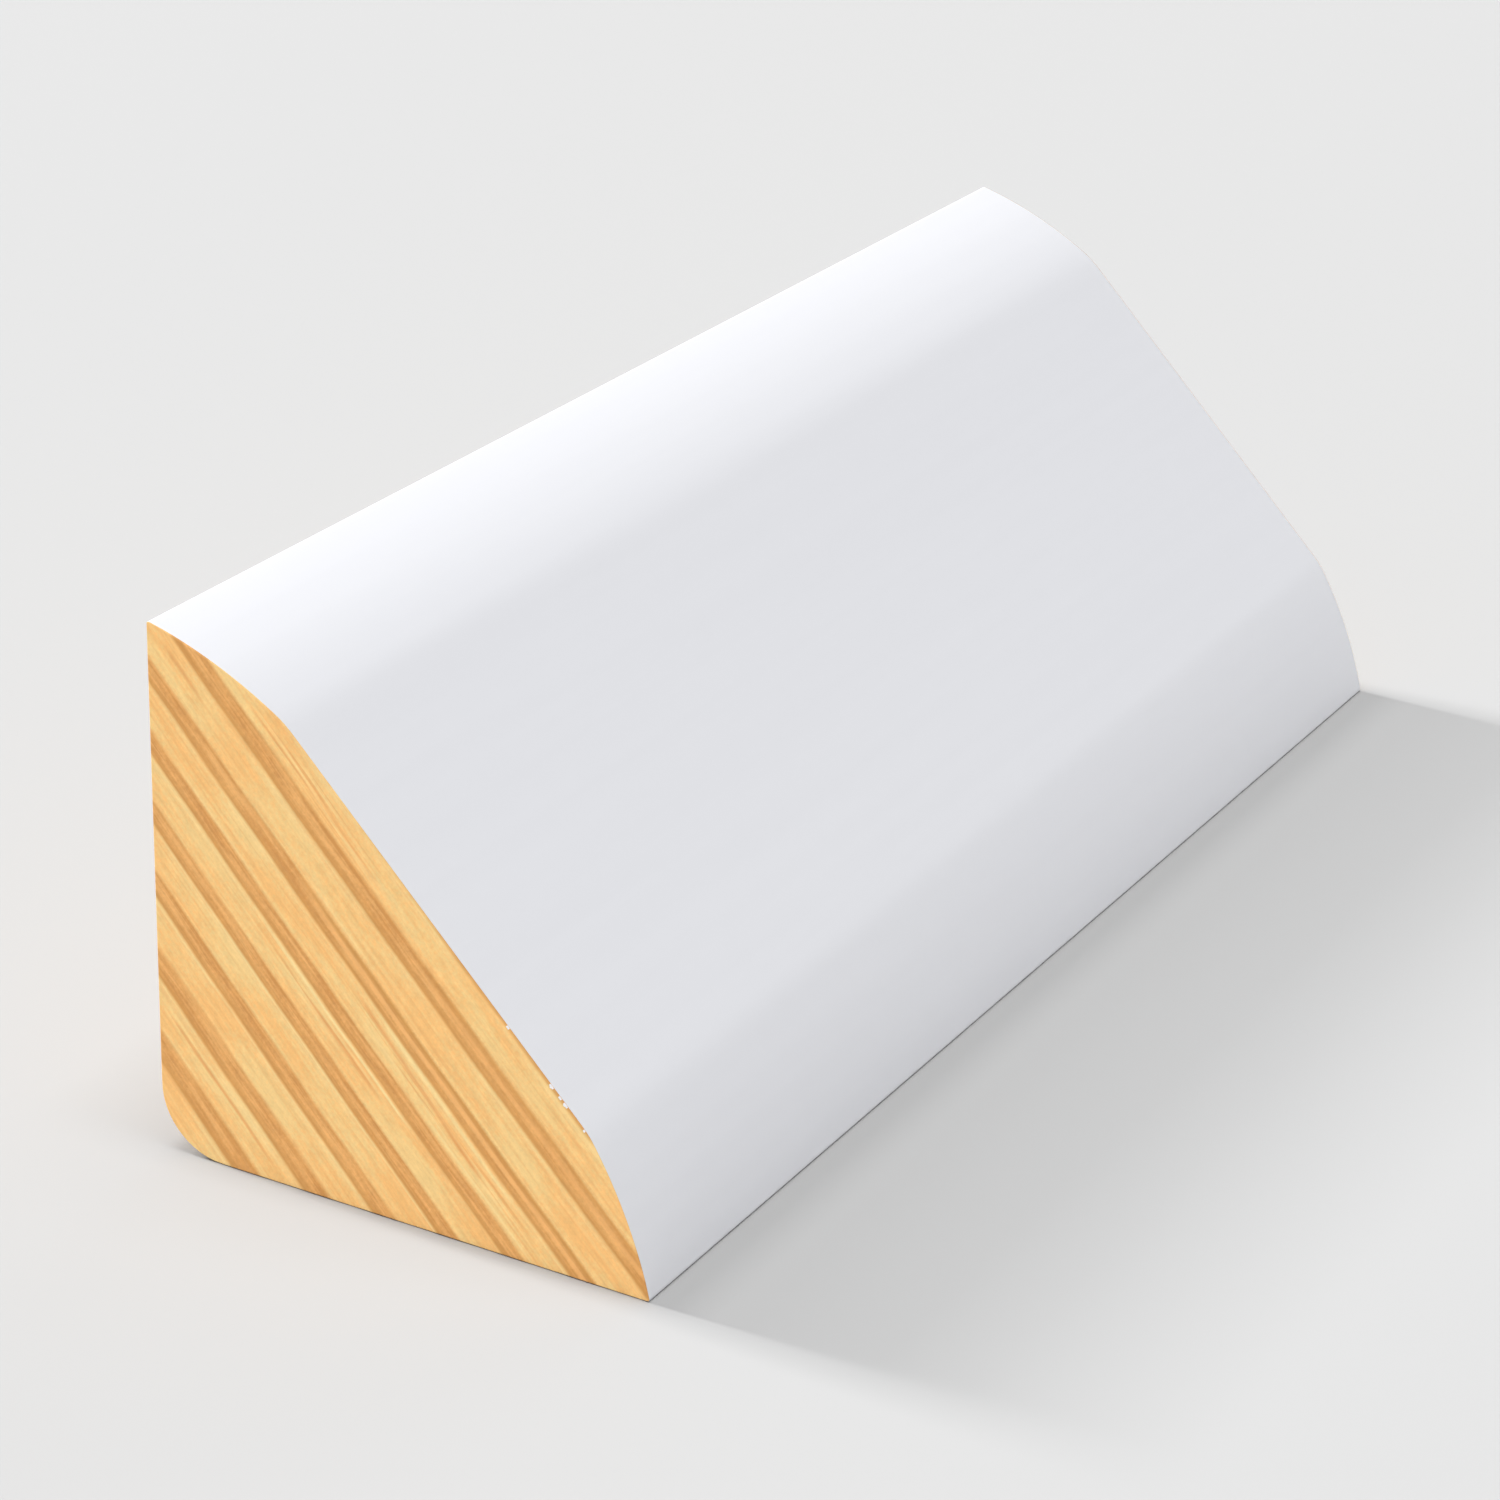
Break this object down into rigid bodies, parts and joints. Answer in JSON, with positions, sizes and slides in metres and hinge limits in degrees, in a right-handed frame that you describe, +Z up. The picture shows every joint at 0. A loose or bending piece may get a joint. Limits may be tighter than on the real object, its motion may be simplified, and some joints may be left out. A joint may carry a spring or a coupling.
{
  "type": "triangular corner moulding",
  "caption": "Square-cut length of white-painted pine moulding: a right triangle in section, with equal legs, a sloping flat face, rounded shoulders and a rounded heel.",
  "frame": {"origin": "on the base, at the middle of the bounding box's underside", "axes": "+X along the moulding, +Y out of the back into the wall, +Z up; the painted face looks towards -Y and +Z"},
  "size_m": [0.065, 0.021, 0.021],
  "materials": {
    "painted_pine": "satin white paint on the front, bare straight-grained pine on the back, base and both cut ends"
  },
  "bodies": {
    "root": {"corner_moulding": "painted_pine"}
  },
  "joints": []
}
